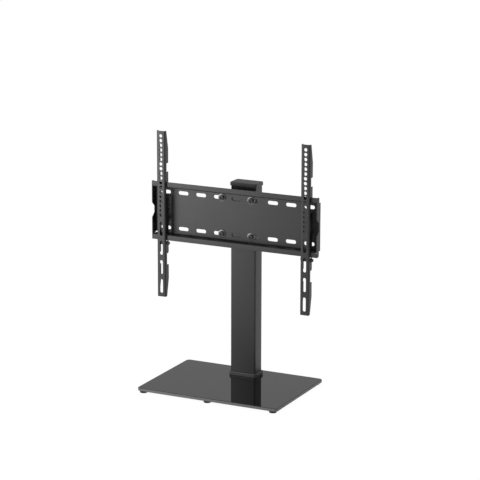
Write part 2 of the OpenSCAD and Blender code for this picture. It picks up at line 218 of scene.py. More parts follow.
def build_grain_group() -> bpy.types.NodeTree:
    """Fine moulded or sprayed grain as height, with a slow mottling beside it.

    Returns:
        The group, with a height and a mottle output.
    """
    group = new_group(
        "surface_grain",
        {
            "Grain Size": ("NodeSocketFloat", 0.0006),
            "Mottle Size": ("NodeSocketFloat", 0.03),
            "Sharpness": ("NodeSocketFloat", 0.5),
        },
        {"Height": "NodeSocketFloat", "Mottle": "NodeSocketFloat"},
    )
    nodes = NodeTree(group)
    start = nodes.add("NodeGroupInput")
    end = nodes.add("NodeGroupOutput")
    place = nodes.add("ShaderNodeTexCoord").outputs["Object"]
    fine = nodes.add("ShaderNodeTexNoise")
    cells = nodes.add("ShaderNodeTexVoronoi", feature="SMOOTH_F1")
    slow = nodes.add("ShaderNodeTexNoise")
    for node, label in ((fine, "Grain Size"), (cells, "Grain Size"), (slow, "Mottle Size")):
        nodes.link(place, node.inputs["Vector"])
        nodes.link(nodes.maths("DIVIDE", 1.0, start.outputs[label]), node.inputs["Scale"])
    fine.inputs["Detail"].default_value = 2.0
    slow.inputs["Detail"].default_value = 3.0
    keep = nodes.maths("SUBTRACT", 1.0, start.outputs["Sharpness"])
    soft = nodes.maths("MULTIPLY", fine.outputs["Fac"], keep)
    hard = nodes.maths("MULTIPLY", cells.outputs["Distance"], start.outputs["Sharpness"])
    nodes.link(nodes.maths("ADD", soft, hard), end.inputs["Height"])
    nodes.link(slow.outputs["Fac"], end.inputs["Mottle"])
    return group


def build_edge_group() -> bpy.types.NodeTree:
    """Mask of edges, where a coat is thin and rubbed, and where screw and washer rims get a painted
    highlight.

    Returns:
        The group, with a mask output.
    """
    group = new_group(
        "worn_edge",
        {"Mottle": ("NodeSocketFloat", 0.5), "Amount": ("NodeSocketFloat", 1.0)},
        {"Mask": "NodeSocketFloat"},
    )
    nodes = NodeTree(group)
    start = nodes.add("NodeGroupInput")
    end = nodes.add("NodeGroupOutput")
    rounded = nodes.add("ShaderNodeBevel", samples=4)
    rounded.inputs["Radius"].default_value = EDGE_REACH
    plain = nodes.add("ShaderNodeNewGeometry")
    dot = nodes.add("ShaderNodeVectorMath", operation="DOT_PRODUCT")
    nodes.link(rounded.outputs["Normal"], dot.inputs[0])
    nodes.link(plain.outputs["Normal"], dot.inputs[1])
    bend = nodes.maths("SUBTRACT", 1.0, dot.outputs["Value"])
    strong = nodes.maths("MULTIPLY", bend, EDGE_GAIN)
    patchy = nodes.maths("MULTIPLY", strong, start.outputs["Mottle"])
    scaled = nodes.maths("MULTIPLY", patchy, start.outputs["Amount"])
    nodes.link(nodes.maths("MINIMUM", scaled, 1.0), end.inputs["Mask"])
    return group


@dataclass(frozen=True)
class Finish:
    """A coated, moulded or plated surface with grain, mottling and lighter edges: rubbed wear, and on
    screws and washers a painted rim highlight.
    """

    name: str
    colour: tuple[float, float, float]
    edge_colour: tuple[float, float, float]
    roughness: float
    roughness_swing: float
    grain_size: float
    grain_depth: float
    sharpness: float = 0.5
    mottle_size: float = 0.03
    mottle: float = 0.08
    edge: float = 0.5
    metallic: float = 0.0
    specular: float = 0.5

    def material(self, grain: bpy.types.NodeTree, edge: bpy.types.NodeTree) -> bpy.types.Material:
        """Builds the node material.

        Args:
            grain: The shared grain group.
            edge: The shared edge group.

        Returns:
            The finished material.
        """
        made = bpy.data.materials.new(self.name)
        made.use_nodes = True
        nodes = NodeTree(made.node_tree)
        out = nodes.add("ShaderNodeOutputMaterial")
        shader = nodes.add("ShaderNodeBsdfPrincipled")
        shader.inputs["Metallic"].default_value = self.metallic
        shader.inputs["Specular IOR Level"].default_value = self.specular
        nodes.link(shader.outputs[0], out.inputs["Surface"])
        pattern = nodes.add("ShaderNodeGroup", node_tree=grain)
        pattern.inputs["Grain Size"].default_value = self.grain_size
        pattern.inputs["Mottle Size"].default_value = self.mottle_size
        pattern.inputs["Sharpness"].default_value = self.sharpness
        edge_wear_and_highlight = nodes.add("ShaderNodeGroup", node_tree=edge)
        edge_wear_and_highlight.inputs["Amount"].default_value = self.edge
        nodes.link(pattern.outputs["Mottle"], edge_wear_and_highlight.inputs["Mottle"])
        darker = tuple(c * (1.0 - self.mottle) for c in self.colour)
        lighter = tuple(c * (1.0 + self.mottle) for c in self.colour)
        body = nodes.mix_colour(pattern.outputs["Mottle"], darker, lighter)
        # Lighter edge colour: rubbed wear, and on screw heads and washers a painted highlight on the rims.
        coated = nodes.mix_colour(edge_wear_and_highlight.outputs["Mask"], body, self.edge_colour)
        nodes.link(coated, shader.inputs["Base Color"])
        swing = nodes.maths("MULTIPLY", pattern.outputs["Mottle"], self.roughness_swing)
        rough = nodes.maths("ADD", swing, self.roughness - self.roughness_swing / 2)
        nodes.link(rough, shader.inputs["Roughness"])
        bump = nodes.add("ShaderNodeBump")
        bump.inputs["Distance"].default_value = self.grain_depth
        bump.inputs["Strength"].default_value = 1.0
        nodes.link(pattern.outputs["Height"], bump.inputs["Height"])
        nodes.link(bump.outputs["Normal"], shader.inputs["Normal"])
        return made


@dataclass(frozen=True)
class GlassFinish:
    """Toughened glass with black enamel underneath: polished top and dull underside."""

    name: str = "black_glass_polished"
    colour: tuple[float, float, float] = (0.006, 0.006, 0.0065)
    enamel_colour: tuple[float, float, float] = (0.012, 0.012, 0.012)
    smudge_size: float = 0.05
    refraction: float = 1.52
    roughness: float = 0.01
    smudge_roughness: float = 0.03
    enamel_roughness: float = 0.45

    def material(self) -> bpy.types.Material:
        """Builds the node material with a look for the top and the underside.

        Returns:
            The finished material.
        """
        made = bpy.data.materials.new(self.name)
        made.use_nodes = True
        nodes = NodeTree(made.node_tree)
        out = nodes.add("ShaderNodeOutputMaterial")
        shader = nodes.add("ShaderNodeBsdfPrincipled")
        shader.inputs["IOR"].default_value = self.refraction
        nodes.link(shader.outputs[0], out.inputs["Surface"])
        facing = nodes.add("ShaderNodeSeparateXYZ")
        nodes.link(nodes.add("ShaderNodeNewGeometry").outputs["Normal"], facing.inputs[0])
        under = nodes.maths("LESS_THAN", facing.outputs["Z"], -FLAT)
        smudge = nodes.add("ShaderNodeTexNoise")
        smudge.inputs["Scale"].default_value = 1.0 / self.smudge_size
        nodes.link(nodes.add("ShaderNodeTexCoord").outputs["Object"], smudge.inputs["Vector"])
        nodes.link(nodes.mix_colour(under, self.colour, self.enamel_colour), shader.inputs["Base Color"])
        polished = nodes.maths("MULTIPLY_ADD", smudge.outputs["Fac"], self.smudge_roughness, self.roughness)
        rough = nodes.maths("MULTIPLY_ADD", under, self.enamel_roughness, polished)
        nodes.link(rough, shader.inputs["Roughness"])
        return made


POWDER_COAT = Finish(
    "black_powder_coat", colour=(0.0115, 0.0115, 0.0120), edge_colour=(0.040, 0.040, 0.042),
    roughness=0.45, roughness_swing=0.06, grain_size=0.0007, grain_depth=0.00003, specular=0.44,
)
# The light edge colour of the screws is a painted highlight on the head's rim.
SCREW_BLACK = Finish(
    "black_screw_plating", colour=(0.010, 0.010, 0.0105), edge_colour=(0.30, 0.30, 0.31),
    roughness=0.42, roughness_swing=0.08, grain_size=0.0003, grain_depth=0.000006,
    edge=0.8, metallic=0.3,
)
# Washer plating whose light edge colour is a painted highlight on the washer's rim.
WASHER_PAINTED_RIM_HIGHLIGHT = Finish(
    "black_washer_plating", colour=(0.10, 0.10, 0.103), edge_colour=(0.50, 0.50, 0.51),
    roughness=0.36, roughness_swing=0.08, grain_size=0.0003, grain_depth=0.000006,
    edge=1.0, metallic=0.9,
)
MOULDED_BLACK = Finish(
    "moulded_black_plastic", colour=(0.034, 0.034, 0.035), edge_colour=(0.060, 0.060, 0.062),
    roughness=0.50, roughness_swing=0.08, grain_size=0.0004, grain_depth=0.00002, sharpness=0.8,
)
FOOT_RUBBER = Finish(
    "foot_rubber", colour=(0.006, 0.006, 0.006), edge_colour=(0.012, 0.012, 0.012),
    roughness=0.62, roughness_swing=0.10, grain_size=0.0005, grain_depth=0.00003, edge=0.3,
)
ZINC_PLATE = Finish(
    "zinc_plate", colour=(0.40, 0.41, 0.43), edge_colour=(0.66, 0.66, 0.67),
    roughness=0.28, roughness_swing=0.14, grain_size=0.0004, grain_depth=0.000006,
    mottle=0.06, metallic=1.0,
)
GROUND_EDGE = Finish(
    "ground_glass_edge", colour=(0.150, 0.155, 0.152), edge_colour=(0.20, 0.21, 0.205),
    roughness=0.42, roughness_swing=0.10, grain_size=0.0005, grain_depth=0.000008, specular=0.12,
)
NYLON_BUSH = Finish(
    "nylon_bush", colour=(0.72, 0.72, 0.68), edge_colour=(0.78, 0.78, 0.75),
    roughness=0.52, roughness_swing=0.06, grain_size=0.0005, grain_depth=0.00001,
)


@dataclass(frozen=True)
class Softbox:
    """Square lamp that shines on one point, with its side in metres and its power in watts."""

    name: str
    place: tuple[float, float, float]
    size: float
    power: float

    def hang(self, aim: Vector) -> None:
        """Adds the lamp to the scene.

        Args:
            aim: The point that it shines on.
        """
        data = bpy.data.lights.new(self.name, "AREA")
        data.size = self.size
        data.energy = self.power
        lamp = bpy.data.objects.new(self.name, data)
        back = (Vector(self.place) - aim).normalized()
        lamp.matrix_world = Matrix.Translation(self.place) @ look_matrix(back).to_4x4()
        bpy.context.scene.collection.objects.link(lamp)


@dataclass
class Studio:
    """Pale floor, plain soft light and the camera at the photograph's angle."""

    azimuth: float = 26.181
    elevation: float = 13.604
    roll: float = 0.133
    distance: float = 5.3656
    target: tuple[float, float, float] = (-0.01832, 0.090, 0.3651)
    focal_pixels: float = 2114.5
    picture_pixels: float = 480.0
    sensor: float = 36.0
    clip_end: float = 100.0
    floor_half: float = 30.0
    floor_grey: float = 0.86
    glow_strength: float = 1.06
    glow_share: float = 0.90
    horizon_level: float = 1.0
    ceiling_level: float = 0.53
    horizon_degrees: float = 4.0
    ceiling_degrees: float = 13.0
    aim: tuple[float, float, float] = (0.0, 0.05, 0.42)
    lamps: tuple[Softbox, ...] = (
        Softbox("key_softbox", (-0.836, -0.946, 0.42), size=0.6, power=9.1),
        Softbox("rear_softbox", (0.0, 2.2, 2.5), size=1.2, power=9.0),
    )

    def build(self) -> None:
        """Makes the camera, the floor, the world and the lamps."""
        bpy.context.scene.view_settings.view_transform = "Standard"
        self.place_camera()
        self.lay_floor()
        self.light_world()
        for lamp in self.lamps:
            lamp.hang(Vector(self.aim))

    def place_camera(self) -> None:
        """Sets the camera where the photograph was taken from."""
        turned = math.radians(self.azimuth)
        raised = math.radians(self.elevation)
        level = math.cos(raised)
        back = Vector((math.sin(turned) * level, -math.cos(turned) * level, math.sin(raised)))
        data = bpy.data.cameras.new("photo_camera")
        data.sensor_width = self.sensor
        data.lens = self.sensor * self.focal_pixels / self.picture_pixels
        data.clip_end = self.clip_end
        camera = bpy.data.objects.new("photo_camera", data)
        turn = look_matrix(back, math.radians(self.roll))
        camera.matrix_world = Matrix.Translation(Vector(self.target) + back * self.distance) @ turn.to_4x4()
        bpy.context.scene.collection.objects.link(camera)
        bpy.context.scene.camera = camera

    def lay_floor(self) -> None:
        """Adds a large white floor that keeps the shadow of the object."""
        bpy.ops.mesh.primitive_plane_add(size=2 * self.floor_half, location=(0.0, 0.0, 0.0))
        floor = bpy.context.object
        floor.name = "floor"
        paint = bpy.data.materials.new("white_floor")
        paint.use_nodes = True
        nodes = NodeTree(paint.node_tree)
        out = nodes.add("ShaderNodeOutputMaterial")
        lit = nodes.add("ShaderNodeBsdfDiffuse")
        lit.inputs["Color"].default_value = (self.floor_grey, self.floor_grey, self.floor_grey, 1.0)
        glow = nodes.add("ShaderNodeEmission")
        glow.inputs["Color"].default_value = (1.0, 1.0, 1.0, 1.0)
        glow.inputs["Strength"].default_value = self.glow_strength
        rays = nodes.add("ShaderNodeLightPath")
        seen = nodes.maths("MAXIMUM", rays.outputs["Is Camera Ray"], rays.outputs["Is Glossy Ray"])
        seen = nodes.maths("MAXIMUM", seen, rays.outputs["Is Transmission Ray"])
        blend = nodes.add("ShaderNodeMixShader")
        nodes.link(nodes.maths("MULTIPLY", seen, self.glow_share), blend.inputs[0])
        nodes.link(lit.outputs[0], blend.inputs[1])
        nodes.link(glow.outputs[0], blend.inputs[2])
        nodes.link(blend.outputs[0], out.inputs["Surface"])
        floor.data.materials.append(paint)

    def light_world(self) -> None:
        """Makes a studio that is white at the horizon and grey overhead."""
        world = bpy.data.worlds.new("studio")
        bpy.context.scene.world = world
        world.use_nodes = True
        nodes = NodeTree(world.node_tree)
        out = nodes.add("ShaderNodeOutputWorld")
        sky = nodes.add("ShaderNodeBackground")
        sky.inputs["Color"].default_value = (1.0, 1.0, 1.0, 1.0)
        nodes.link(sky.outputs[0], out.inputs["Surface"])
        height = nodes.add("ShaderNodeSeparateXYZ")
        nodes.link(nodes.add("ShaderNodeTexCoord").outputs["Generated"], height.inputs[0])
        fall = nodes.add("ShaderNodeMapRange", interpolation_type="SMOOTHSTEP")
        for label, value in (
            ("From Min", math.sin(math.radians(self.horizon_degrees))),
            ("From Max", math.sin(math.radians(self.ceiling_degrees))),
            ("To Min", self.horizon_level),
            ("To Max", self.ceiling_level),
        ):
            fall.inputs[label].default_value = value
        nodes.link(height.outputs["Z"], fall.inputs["Value"])
        nodes.link(fall.outputs["Result"], sky.inputs["Strength"])


def deselect() -> None:
    """Leaves edit mode and selects nothing."""
    if bpy.context.object and bpy.context.object.mode != "OBJECT":
        bpy.ops.object.mode_set(mode="OBJECT")
    bpy.ops.object.select_all(action="DESELECT")


def make_active(piece: bpy.types.Object) -> None:
    """Selects one object alone and makes it the active one.

    Args:
        piece: The object.
    """
    deselect()
    bpy.context.view_layer.objects.active = piece
    piece.select_set(True)


def pick(piece: bpy.types.Object, kind: str, test: Callable[[object], bool]) -> None:
    """Selects elements of the active mesh, and no others, and stays in edit mode.

    Args:
        piece: The active object.
        kind: VERT, EDGE or FACE.
        test: Says for a mesh element whether it is picked.
    """
    bpy.ops.object.mode_set(mode="EDIT")
    bpy.ops.mesh.select_mode(type=kind)
    bpy.ops.mesh.select_all(action="DESELECT")
    bpy.ops.object.mode_set(mode="OBJECT")
    found = {"VERT": piece.data.vertices, "EDGE": piece.data.edges, "FACE": piece.data.polygons}[kind]
    for element in found:
        element.select = test(element)
    bpy.ops.object.mode_set(mode="EDIT")


def pick_end(piece: bpy.types.Object, side: float) -> None:
    """Selects the level faces that look up, with side 1.0, or down, with side -1.0."""
    pick(piece, "FACE", lambda face: face.normal.z * side > FLAT)


def extrude_up(height: float) -> None:
    """Extrudes the selected faces along Z."""
    bpy.ops.mesh.extrude_region_move(TRANSFORM_OT_translate={"value": (0.0, 0.0, height)})


def scale_round(share: float) -> None:
    """Scales what is selected to or from the Z axis."""
    bpy.ops.transform.resize(value=(share, share, 1.0), center_override=(0.0, 0.0, 0.0))


def edge_points(piece: bpy.types.Object, edge: bpy.types.MeshEdge) -> tuple[Vector, Vector]:
    """The two ends of a mesh edge."""
    first, second = edge.vertices
    return piece.data.vertices[first].co, piece.data.vertices[second].co


def pick_ring(piece: bpy.types.Object, height: float, radius: float) -> None:
    """Selects the edges that run round at one height and radius.

    Args:
        piece: The active object, with Z as its axis.
        height: Z of the ring.
        radius: Distance of the ring from the axis.
    """
    def lies_there(edge: bpy.types.MeshEdge) -> bool:
        """Whether an edge belongs to the ring.

        Args:
            edge: An edge of the piece.

        Returns:
            True if both ends have the ring's height and radius.
        """
        return all(
            abs(point.z - height) < SAME_LEVEL and abs(point.xy.length - radius) < SAME_RADIUS
            for point in edge_points(piece, edge)
        )

    pick(piece, "EDGE", lies_there)


def add_cylinder(name: str, radius: float, low: float, high: float, sides: int = 48) -> bpy.types.Object:
    """Adds a cylinder along Z and applies its place.

    Args:
        name: Name of the object.
        radius: Its radius, to the corners.
        low: Z of its lower end.
        high: Z of its upper end.
        sides: Number of its side faces.

    Returns:
        The cylinder, active and selected.
    """
    deselect()
    bpy.ops.mesh.primitive_cylinder_add(
        vertices=sides, radius=radius, depth=high - low, location=(0.0, 0.0, (low + high) / 2)
    )
    made = bpy.context.object
    made.name = made.data.name = name
    bpy.ops.object.transform_apply(location=True, rotation=True, scale=True)
    return made


def apply_modifier(piece: bpy.types.Object, kind: str, **values: object) -> None:
    """Adds a modifier with the given settings and applies it.

    Args:
        piece: The object to change.
        kind: Type name of the modifier.
        **values: Settings of the modifier, by name.
    """
    make_active(piece)
    modifier = piece.modifiers.new(kind.lower(), kind)
    for name, value in values.items():
        setattr(modifier, name, value)
    bpy.ops.object.modifier_apply(modifier=modifier.name)


def cut(piece: bpy.types.Object, tool: bpy.types.Object, operation: str = "DIFFERENCE") -> None:
    """Cuts a piece with a tool, which is used up."""
    apply_modifier(piece, "BOOLEAN", operation=operation, object=tool, solver="EXACT")
    bpy.data.objects.remove(tool)


def stand_on(piece: bpy.types.Object, place: Vector, outwards: Vector) -> bpy.types.Object:
    """Turns a piece made along Z to a direction and puts its zero height at a place.

    Args:
        piece: The piece, made round the Z axis.
        place: Where its origin goes.
        outwards: The direction that its +Z takes.

    Returns:
        The same piece, with its place in its mesh.
    """
    turn = outwards.to_track_quat("Z", "Y").to_matrix().to_4x4()
    piece.data.transform(Matrix.Translation(place) @ turn)
    piece.data.update()
    return piece


def smooth_by_angle(piece: bpy.types.Object, degrees: float = 32.0) -> None:
    """Shades a piece smooth, with edges sharper than an angle kept."""
    make_active(piece)
    bpy.ops.object.shade_smooth_by_angle(angle=math.radians(degrees))


def copy_to(piece: bpy.types.Object, name: str) -> bpy.types.Object:
    """Copies a piece together with its mesh.

    Args:
        piece: The piece to copy.
        name: Name of the copy.

    Returns:
        The copy, linked to the scene.
    """
    copy = piece.copy()
    copy.data = piece.data.copy()
    copy.name = copy.data.name = name
    bpy.context.scene.collection.objects.link(copy)
    return copy


@dataclass
class CoatedPart:
    """A sheet, glass or moulded part that keeps its CAD form and gets rounded edges."""

    node: str
    radius: float = 0.3 * MM
    segments: int = 2
    sharp_angle: float = 35.0

    def build(self, palette: "Palette") -> bpy.types.Object:
        """Copies the CAD mesh, merges it, rounds its edges and lets it stand for the node.

        Args:
            palette: Gives the copy the node's finish.

        Returns:
            The finished copy.
        """
        source = frame["nodes"][self.node]
        copy = copy_to(source, f"{self.node}_finished")
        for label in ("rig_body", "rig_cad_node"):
            del copy[label]
        copy.parent = None
        copy.matrix_world = Matrix.Identity(4)
        make_active(copy)
        bpy.ops.mesh.customdata_custom_splitnormals_clear()
        bpy.ops.object.mode_set(mode="EDIT")
        bpy.ops.mesh.select_all(action="SELECT")
        bpy.ops.mesh.remove_doubles(threshold=SAME_LEVEL)
        bpy.ops.object.mode_set(mode="OBJECT")
        bpy.ops.object.shade_smooth()
        apply_modifier(
            copy, "BEVEL", width=self.radius, segments=self.segments, limit_method="ANGLE",
            angle_limit=math.radians(self.sharp_angle), use_clamp_overlap=False, loop_slide=False,
            harden_normals=True,
        )
        palette.hand_over(copy, self.node)
        return copy


@dataclass
class SocketScrew:
    """Screw with a hexagon socket, a chamfered tip and thread ridges near the tip.

    Made round Z with the seat of the head at zero, the head above and the shank below.
    A cap head is serrated, and a countersunk head is a cone whose narrow end is at zero.
    The rim is a share of the chamfer, the root of the pitch, the groove of the head's radius,
    the socket's floor and its cone of the head's height, and the cone's tip of the key.
    """

    head_radius: float
    head_height: float
    shank_radius: float
    length: float
    key_radius: float
    head: Head = Head.CAP
    thread: float = 4.0 * MM
    pitch: float = 1.25 * MM
    sides: int = 48
    chamfer: float = 0.5 * MM
    rim: float = 0.6
    root: float = 0.6
    groove: float = 0.972
    socket_floor: float = 0.45
    socket_cone: float = 0.12
    cone_tip: float = 0.15
    lead_height: float = 0.4 * MM
    lead_outside: float = 0.5 * MM
    lead_inside: float = 0.3 * MM

    def build(self, name: str) -> bpy.types.Object:
        """Models one screw.

        Args:
            name: Name of the piece.

        Returns:
            The screw, at the origin.
        """
        screw = add_cylinder(name, self.head_radius, 0.0, self.head_height, self.sides)
        pick_end(screw, -1.0)
        if self.head is Head.COUNTERSUNK:
            scale_round(self.shank_radius / self.head_radius)
        else:
            bpy.ops.mesh.inset(thickness=self.head_radius - self.shank_radius)
        for step in (self.length - self.thread, self.thread):
            extrude_up(-step)
        pick_ring(screw, -self.length, self.shank_radius)
        bpy.ops.mesh.bevel(offset=self.chamfer, segments=1)
        self.roll_thread(screw)
        pick_ring(screw, self.head_height, self.head_radius)
        bpy.ops.mesh.bevel(offset=self.rim * self.chamfer, segments=3)
        if self.head is Head.CAP:
            self.serrate(screw)
        self.broach(screw)
        smooth_by_angle(screw)
        return screw

    def roll_thread(self, screw: bpy.types.Object) -> None:
        """Cuts the last length of the shank into rings and narrows every second one.

        Args:
            screw: The screw, which is the active object.
        """
        top = self.thread - self.length
        low = self.chamfer - self.length
        turns = max(2, round((top - low) / self.pitch))
        step = (top - low) / (2 * turns)

        def is_flank(edge: bpy.types.MeshEdge) -> bool:
            """Whether an edge runs along the whole thread."""
            ends = sorted(point.z for point in edge_points(screw, edge))
            return abs(ends[0] - low) < 2 * SAME_LEVEL and abs(ends[1] - top) < 2 * SAME_LEVEL

        def is_root(edge: bpy.types.MeshEdge) -> bool:
            """Whether an edge belongs to a ring that becomes a thread's root.

            Args:
                edge: An edge of the screw.

            Returns:
                True for the level edges of every second ring between the thread's ends.
            """
            first, second = edge_points(screw, edge)
            place = (first.z - low) / step
            level = abs(first.z - second.z) < SAME_LEVEL
            return level and 0.5 < place < 2 * turns - 0.5 and round(place) % 2 == 1

        pick(screw, "EDGE", is_flank)
        bpy.ops.mesh.subdivide(number_cuts=2 * turns - 1)
        pick(screw, "EDGE", is_root)
        scale_round(1.0 - self.root * self.pitch / self.shank_radius)

    def serrate(self, screw: bpy.types.Object) -> None:
        """Pulls every second upright edge of the head inwards.

        Args:
            screw: The screw, which is the active object.
        """
        turn = 2 * math.pi / self.sides
        outside = 0.95 * self.head_radius

        def is_groove(edge: bpy.types.MeshEdge) -> bool:
            """Whether an edge becomes a groove between two serrations.

            Args:
                edge: An edge of the screw.

            Returns:
                True for every second upright edge of the head's side.
            """
            low, high = edge_points(screw, edge)
            middle = (low + high) / 2
            odd = round(math.atan2(middle.y, middle.x) / turn) % 2
            upright = abs(low.z - high.z) > self.head_height / 3
            return upright and middle.z > 0 and middle.xy.length > outside and odd == 0

        pick(screw, "EDGE", is_groove)
        scale_round(self.groove)

    def broach(self, screw: bpy.types.Object) -> None:
        """Cuts the hexagon socket with its conical floor and a small lead-in cone.

        Args:
            screw: The screw.
        """
        floor = self.socket_floor * self.head_height
        tool = add_cylinder("broach", self.key_radius, floor, self.head_height + MM, sides=6)
        pick_end(tool, -1.0)
        extrude_up(-self.socket_cone * self.head_height)
        scale_round(self.cone_tip)
        cut(screw, tool)
        low = self.head_height - self.lead_height
        lead = add_cylinder("lead_in", self.key_radius, low, self.head_height + self.lead_height)
        pick_end(lead, 1.0)
        scale_round(1.0 + self.lead_outside / self.key_radius)
        pick_end(lead, -1.0)
        scale_round(1.0 - self.lead_inside / self.key_radius)
        cut(screw, lead)


@dataclass
class FlatWasher:
    """Stamped washer with rolled edges, made round Z from zero upwards."""

    radius: float
    hole: float
    thickness: float
    roll: float = 0.25 * MM
    sharp_angle: float = 40.0

    def build(self, name: str) -> bpy.types.Object:
        """Models one washer.

        Args:
            name: Name of the piece.

        Returns:
            The washer, at the origin.
        """
        washer = add_cylinder(name, self.radius, 0.0, self.thickness, sides=64)
        pick(washer, "FACE", lambda face: abs(face.normal.z) > FLAT)
        bpy.ops.mesh.inset(thickness=self.radius - self.hole)
        bpy.ops.mesh.bridge_edge_loops()
        apply_modifier(
            washer, "BEVEL", width=self.roll, segments=2, limit_method="ANGLE",
            angle_limit=math.radians(self.sharp_angle),
        )
        smooth_by_angle(washer)
        return washer


@dataclass
class HexagonNut:
    """Hexagon nut with chamfered corners and a countersunk bore, made round Z from zero upwards.

    The chamfer's drop is a share of its width. The barrel that cuts the corners is a little
    wider than the nut, and its cones are a little longer than the drop.
    """

    corner_radius: float
    height: float
    bore: float
    chamfer: float = 0.9 * MM
    drop: float = 0.55
    countersink: float = 0.6 * MM
    barrel_width: float = 1.001
    cone_length: float = 1.01
    smooth_angle: float = 20.0

    def build(self, name: str) -> bpy.types.Object:
        """Models one nut.

        Args:
            name: Name of the piece.

        Returns:
            The nut, at the origin.
        """
        nut = add_cylinder(name, self.corner_radius, 0.0, self.height, sides=6)
        drop = self.drop * self.chamfer
        radius = self.corner_radius * self.barrel_width
        barrel = add_cylinder("barrel", radius, drop, self.height - drop, sides=64)
        for side in (-1.0, 1.0):
            pick_end(barrel, side)
            extrude_up(side * self.cone_length * drop)
            scale_round(1.0 - self.chamfer / self.corner_radius)
        cut(nut, barrel, "INTERSECT")
        cut(nut, self.drill())
        smooth_by_angle(nut, self.smooth_angle)
        return nut

    def drill(self) -> bpy.types.Object:
        """Makes the tool for the bore, with a cone at each end.

        Returns:
            The tool.
        """
        depth = self.countersink
        drill = add_cylinder("drill", self.bore, depth, self.height - depth)
        for side in (-1.0, 1.0):
            pick_end(drill, side)
            extrude_up(side * 2 * depth)
            scale_round((self.bore + 2 * depth) / self.bore)
        return drill


@dataclass
class WeldBead:
    """Hand-made weld with overlapping ripples, made along Z from zero upwards.

    The ripple and the end are shares of the radius. Its +Y side leans along the bead, by a
    share of half a pitch.
    """

    length: float
    radius: float = 1.9 * MM
    pitch: float = 1.6 * MM
    sides: int = 12
    ripple: float = 1.3
    lean: float = 0.5
    end: float = 0.45

    def build(self, name: str) -> bpy.types.Object:
        """Models one bead.

        Args:
            name: Name of the piece.

        Returns:
            The bead, at the origin.
        """
        bead = add_cylinder(name, self.radius, 0.0, self.length, self.sides)
        rings = 2 * max(3, round(self.length / self.pitch))
        step = self.length / rings

        def runs_along(edge: bpy.types.MeshEdge) -> bool:
            """Whether an edge runs along the bead."""
            first, second = edge_points(bead, edge)
            return abs(first.z - second.z) > step

        def leans(vertex: bpy.types.MeshVertex) -> bool:
            """Whether a point is on the +Y side and away from the ends."""
            return vertex.co.y > 0.5 * self.radius and 0.5 * step < vertex.co.z < self.length - 2 * step

        def is_end(vertex: bpy.types.MeshVertex) -> bool:
            """Whether a point is on an end face."""
            return vertex.co.z < 0.1 * step or vertex.co.z > self.length - 0.1 * step

        pick(bead, "EDGE", runs_along)
        bpy.ops.mesh.subdivide(number_cuts=rings - 1)
        pick(bead, "VERT", lambda vertex: round(vertex.co.z / step) % 2 == 1)
        scale_round(self.ripple)
        pick(bead, "VERT", leans)
        bpy.ops.transform.translate(value=(0.0, 0.0, self.lean * step))
        pick(bead, "VERT", is_end)
        scale_round(self.end)
        apply_modifier(bead, "SUBSURF", levels=1)
        make_active(bead)
        bpy.ops.object.shade_smooth()
        return bead


@dataclass
class RubberFoot:
    """Moulded foot with a rounded sole, a groove round it and a hollow in the middle.

    Its top is at zero. The rings of the sole run from its edge inwards, and each has its width
    and its rise in millimetres.
    """

    radius: float
    height: float
    round_off: float = 1.3 * MM
    top_round: float = 0.3 * MM
    rings: tuple[tuple[float, float], ...] = (
        (2.6, 0.0), (0.5, 0.5), (0.8, 0.0), (0.5, -0.5), (1.2, 0.0), (0.4, 0.8),
    )
    smooth_angle: float = 50.0

    def build(self, name: str) -> bpy.types.Object:
        """Models one foot.

        Args:
            name: Name of the piece.

        Returns:
            The foot, at the origin.
        """
        foot = add_cylinder(name, self.radius, -self.height, 0.0, sides=64)
        pick_end(foot, -1.0)
        for width, rise in self.rings:
            bpy.ops.mesh.inset(thickness=width * MM)
            bpy.ops.transform.translate(value=(0.0, 0.0, rise * MM))
        pick_ring(foot, -self.height, self.radius)
        bpy.ops.mesh.bevel(offset=self.round_off, segments=4, profile=0.5)
        pick_ring(foot, 0.0, self.radius)
        bpy.ops.mesh.bevel(offset=self.top_round, segments=2, profile=0.5)
        smooth_by_angle(foot, self.smooth_angle)
        return foot


